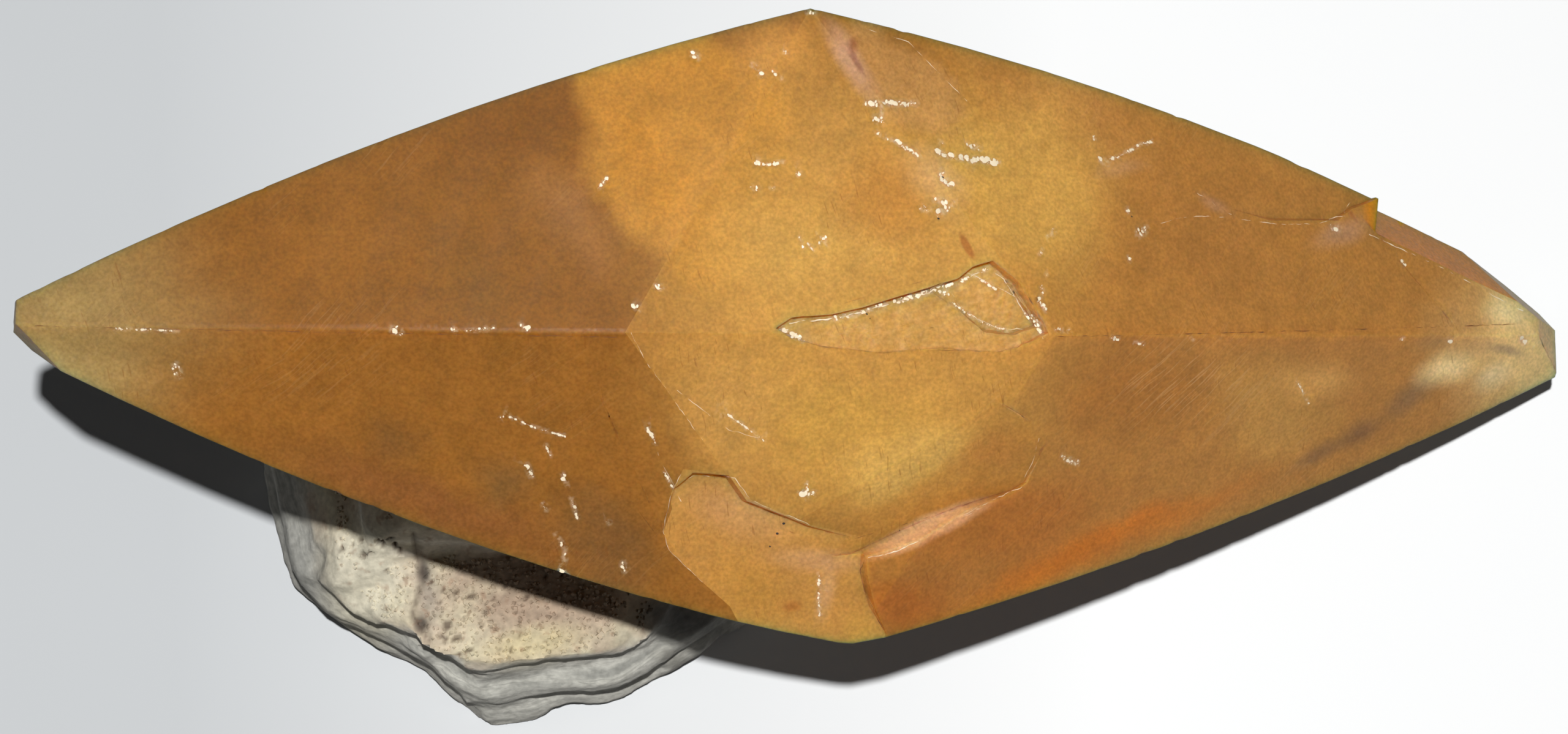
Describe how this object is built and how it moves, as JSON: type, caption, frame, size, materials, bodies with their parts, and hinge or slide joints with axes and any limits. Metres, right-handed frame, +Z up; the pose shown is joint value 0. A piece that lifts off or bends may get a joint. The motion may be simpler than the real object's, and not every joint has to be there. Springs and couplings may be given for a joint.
{
  "type": "scalenohedral calcite crystal on loose host rock",
  "caption": "Doubly terminated, cloudy honey-coloured scalenohedral calcite crystal resting across a loose lump of cream and grey host rock.",
  "frame": {"origin": "bottom centre of the bounding box, on the surface that the rock rests on", "axes": "+X along the crystal to its lower, pale tip; +Y to the rear, away from the side where the rock shows; +Z up"},
  "size_m": [0.1102, 0.0449, 0.0465],
  "materials": {
    "honey_calcite": "translucent, dull vitreous",
    "cream_dolostone": "matte, sugary"
  },
  "bodies": {
    "root": {"calcite_crystal": "honey_calcite", "matrix_rock": "cream_dolostone"}
  },
  "joints": []
}
